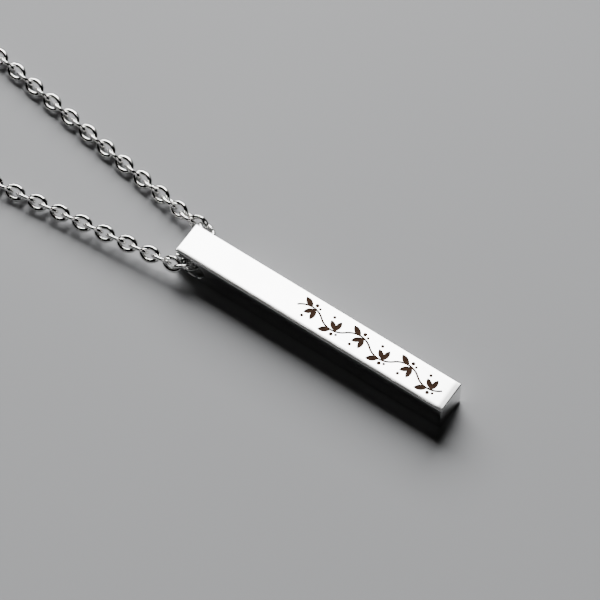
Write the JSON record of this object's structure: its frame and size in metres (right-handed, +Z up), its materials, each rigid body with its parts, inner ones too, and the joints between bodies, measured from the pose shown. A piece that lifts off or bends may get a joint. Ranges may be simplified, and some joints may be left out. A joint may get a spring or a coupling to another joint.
{
  "type": "bar necklace",
  "caption": "Square polished steel bar with an engraved vine, hung by a hole across one end on a fine cable chain that lies in a closed loop with a clasp.",
  "frame": {"origin": "on the surface that the necklace lies on, under the middle of the hole across the bar", "axes": "+Y along the bar from its free end to the hole and on to the chain's loop, +X across the bar along the hole, +Z up from the surface through the engraved face"},
  "size_m": [0.0973, 0.2285, 0.005],
  "materials": {
    "polished_steel": "mirror polished",
    "chain_steel": "polished"
  },
  "bodies": {
    "root": {"bar": "polished_steel", "chain_near": "chain_steel", "chain_far": "chain_steel", "end_ring": "chain_steel", "clasp_ring": "chain_steel", "clasp": "chain_steel"}
  },
  "joints": []
}
